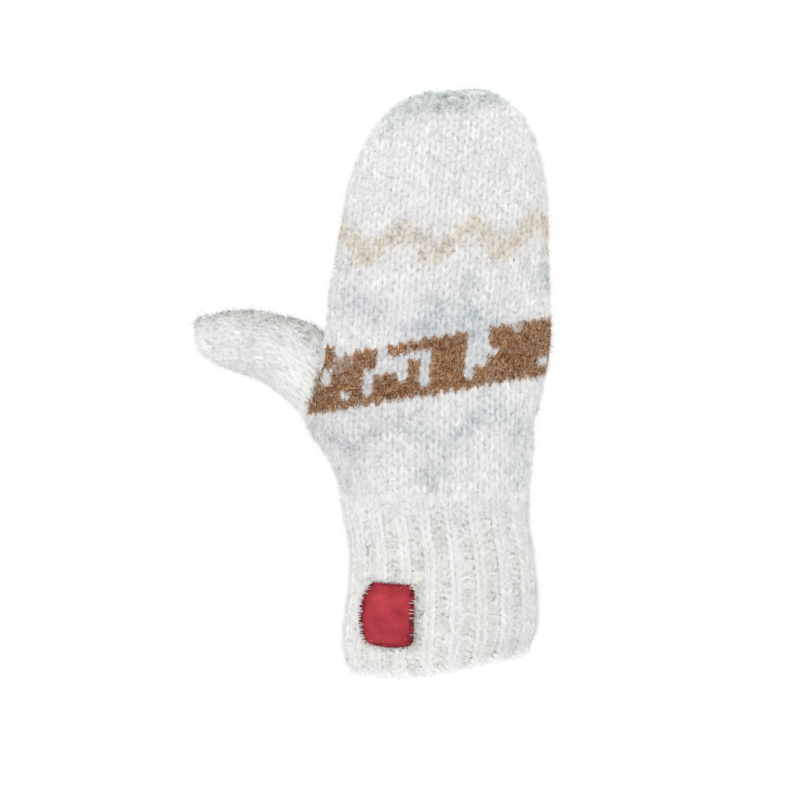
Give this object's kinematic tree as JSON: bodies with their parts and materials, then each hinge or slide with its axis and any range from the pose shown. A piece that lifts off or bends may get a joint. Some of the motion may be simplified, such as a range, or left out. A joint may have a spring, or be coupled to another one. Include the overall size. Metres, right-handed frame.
{
  "type": "knitted alpaca mitten",
  "caption": "Hollow knitted mitten in the form that a hand gives it, with a ribbed cuff, a spread thumb and a small woven label on the cuff.",
  "frame": {"origin": "centre of the wrist opening, at the height of the rim's lowest point", "axes": "+Z from the wrist opening to the fingertips, -Y out of the back of the hand, -X towards the thumb"},
  "size_m": [0.1536, 0.0575, 0.2478],
  "materials": {
    "ivory_knit": "brushed alpaca yarn, matt, with a short soft halo of fibres",
    "red_twill": "fine woven twill with overlocked edges"
  },
  "bodies": {
    "root": {"cuff": "ivory_knit", "hand": "ivory_knit", "thumb": "ivory_knit", "label": "red_twill"}
  },
  "joints": []
}
